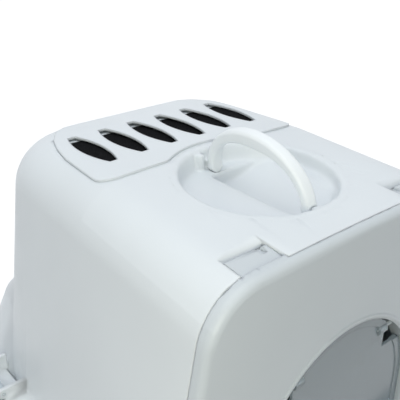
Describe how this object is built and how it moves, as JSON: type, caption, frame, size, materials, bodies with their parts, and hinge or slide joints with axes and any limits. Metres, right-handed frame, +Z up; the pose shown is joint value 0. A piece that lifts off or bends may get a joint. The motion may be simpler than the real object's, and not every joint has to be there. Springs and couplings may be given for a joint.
{
  "type": "hooded cat litter box",
  "caption": "Hooded cat litter box: tray, clip-on hood with lens-shaped air vents over a filter, fold-down carry handle in a round dish, hinged front and swinging entry flap.",
  "frame": {"origin": "centre of the footprint, on the floor the feet stand on", "axes": "+Z up, +Y from the entry flap at the front to the rear wall, +X to the right when looking along +Y"},
  "size_m": [0.4214, 0.423, 0.4099],
  "materials": {
    "hood_plastic": "satin moulded",
    "panel_plastic": "satin moulded",
    "handle_plastic": "satin moulded",
    "tray_plastic": "satin moulded",
    "clip_plastic": "satin moulded",
    "pin_plastic": "plain",
    "clear_flap": "translucent",
    "filter_foam": "open-cell foam",
    "foot_rubber": "matt"
  },
  "bodies": {
    "tray": {"base_tray": "tray_plastic", "foot_left_front": "foot_rubber", "foot_left_rear": "foot_rubber", "foot_right_front": "foot_rubber", "foot_right_rear": "foot_rubber"},
    "hood": {"hood": "hood_plastic", "carbon_filter": "filter_foam", "front_hinge_pin_left": "pin_plastic", "front_hinge_pin_right": "pin_plastic", "handle_pin_front": "pin_plastic", "handle_pin_rear": "pin_plastic", "clip_pin_left_front": "pin_plastic", "clip_pin_left_rear": "pin_plastic", "clip_pin_right_front": "pin_plastic", "clip_pin_right_rear": "pin_plastic"},
    "vent_cover": {"vent_cover": "hood_plastic"},
    "handle": {"carry_handle": "handle_plastic"},
    "front_panel": {"front_panel": "panel_plastic", "door_pin_left": "pin_plastic", "door_pin_right": "pin_plastic"},
    "flap": {"swing_door": "clear_flap"},
    "clip_left_front": {"clip_left_front": "clip_plastic"},
    "clip_left_rear": {"clip_left_rear": "clip_plastic"},
    "clip_right_front": {"clip_right_front": "clip_plastic"},
    "clip_right_rear": {"clip_right_rear": "clip_plastic"}
  },
  "joints": [
    {"name": "hood_lift", "type": "slide", "parent": "tray", "child": "hood", "axis": [0, 0, 1], "range_m": [0, 0.12]},
    {"name": "vent_cover_lift", "type": "slide", "parent": "hood", "child": "vent_cover", "axis": [0, 0, 1], "range_m": [0, 0.05]},
    {"name": "front_panel_hinge", "type": "hinge", "parent": "hood", "child": "front_panel", "pos_m": [0, -0.168, 0.3553], "axis": [-1, 0, 0], "range_deg": [0, 100]},
    {"name": "flap_swing", "type": "hinge", "parent": "front_panel", "child": "flap", "pos_m": [0, -0.19, 0.238], "axis": [1, 0, 0], "range_deg": [-75, 75]},
    {"name": "handle_fold", "type": "hinge", "parent": "hood", "child": "handle", "pos_m": [0, -0.0845, 0.3575], "axis": [0, 1, 0], "range_deg": [0, 88]},
    {"name": "clip_left_front_swing", "type": "hinge", "parent": "hood", "child": "clip_left_front", "pos_m": [-0.2012, -0.088, 0.1335], "axis": [0, 1, 0], "range_deg": [0, 100]},
    {"name": "clip_left_rear_swing", "type": "hinge", "parent": "hood", "child": "clip_left_rear", "pos_m": [-0.2012, 0.088, 0.1335], "axis": [0, 1, 0], "range_deg": [0, 100]},
    {"name": "clip_right_front_swing", "type": "hinge", "parent": "hood", "child": "clip_right_front", "pos_m": [0.2012, -0.088, 0.1335], "axis": [0, -1, 0], "range_deg": [0, 100]},
    {"name": "clip_right_rear_swing", "type": "hinge", "parent": "hood", "child": "clip_right_rear", "pos_m": [0.2012, 0.088, 0.1335], "axis": [0, -1, 0], "range_deg": [0, 100]}
  ]
}
